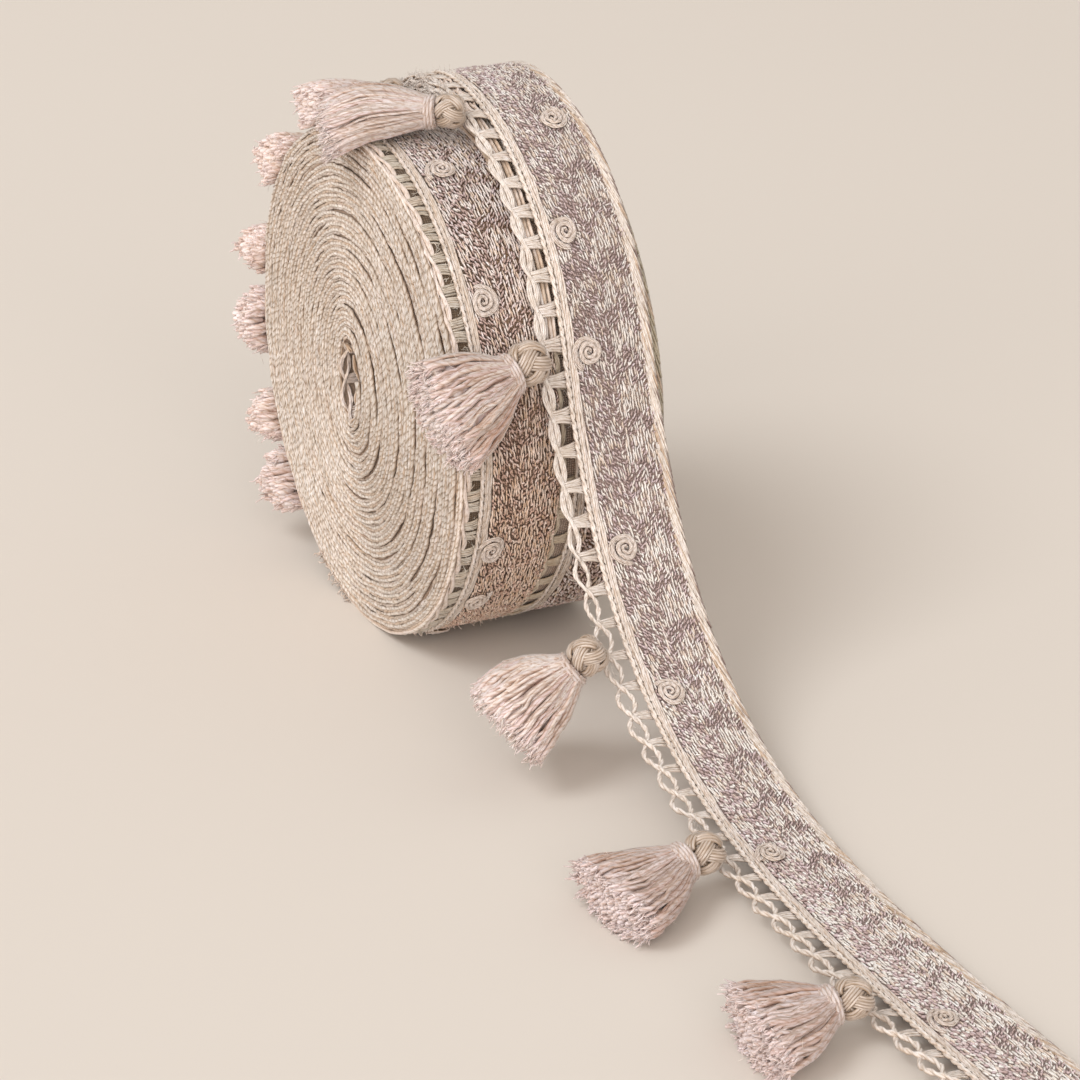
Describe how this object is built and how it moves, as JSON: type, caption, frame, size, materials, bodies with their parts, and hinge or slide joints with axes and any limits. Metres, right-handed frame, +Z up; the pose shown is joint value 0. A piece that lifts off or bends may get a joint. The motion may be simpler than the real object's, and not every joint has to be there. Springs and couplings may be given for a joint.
{
  "type": "roll of tassel fringe trimming",
  "caption": "Wound roll of patterned braid trimming with ladder edging, yarn tassels and small cord rosettes; the loose end drapes from the front of the roll to the surface.",
  "frame": {"origin": "on the surface, in the middle of the roll's small flat spot", "axes": "+Z up; X along the roll's axle, with the tassel side towards -X; the loose end runs out along -Y"},
  "size_m": [0.067, 0.3318, 0.1308],
  "materials": {
    "wound_trimming": "matte wound yarn edges",
    "braid": "matte patterned weave, dusty mauve and cream",
    "edge_cord": "soft off-white twisted cord",
    "knot_cord": "beige knotted cord with a slight sheen",
    "tassel_yarn": "pale pink-beige silky yarn",
    "rosette_cord": "taupe coiled cord"
  },
  "bodies": {
    "root": {"roll_coil": "wound_trimming", "loose_braid": "braid", "loose_cord": "edge_cord", "loose_edging": "edge_cord", "tassel_head_01": "knot_cord", "tassel_head_02": "knot_cord", "tassel_head_03": "knot_cord", "tassel_head_04": "knot_cord", "tassel_head_05": "knot_cord", "tassel_head_06": "knot_cord", "tassel_head_07": "knot_cord", "tassel_head_08": "knot_cord", "tassel_head_09": "knot_cord", "tassel_head_10": "knot_cord", "tassel_head_11": "knot_cord", "tassel_skirt_01": "tassel_yarn", "tassel_skirt_02": "tassel_yarn", "tassel_skirt_03": "tassel_yarn", "tassel_skirt_04": "tassel_yarn", "tassel_skirt_05": "tassel_yarn", "tassel_skirt_06": "tassel_yarn", "tassel_skirt_07": "tassel_yarn", "tassel_skirt_08": "tassel_yarn", "tassel_skirt_09": "tassel_yarn", "tassel_skirt_10": "tassel_yarn", "tassel_skirt_11": "tassel_yarn", "rosette_01": "rosette_cord", "rosette_02": "rosette_cord", "rosette_03": "rosette_cord", "rosette_04": "rosette_cord", "rosette_05": "rosette_cord", "rosette_06": "rosette_cord", "rosette_07": "rosette_cord", "rosette_08": "rosette_cord", "rosette_09": "rosette_cord", "rosette_10": "rosette_cord", "rosette_11": "rosette_cord", "rosette_12": "rosette_cord", "rosette_13": "rosette_cord"}
  },
  "joints": []
}
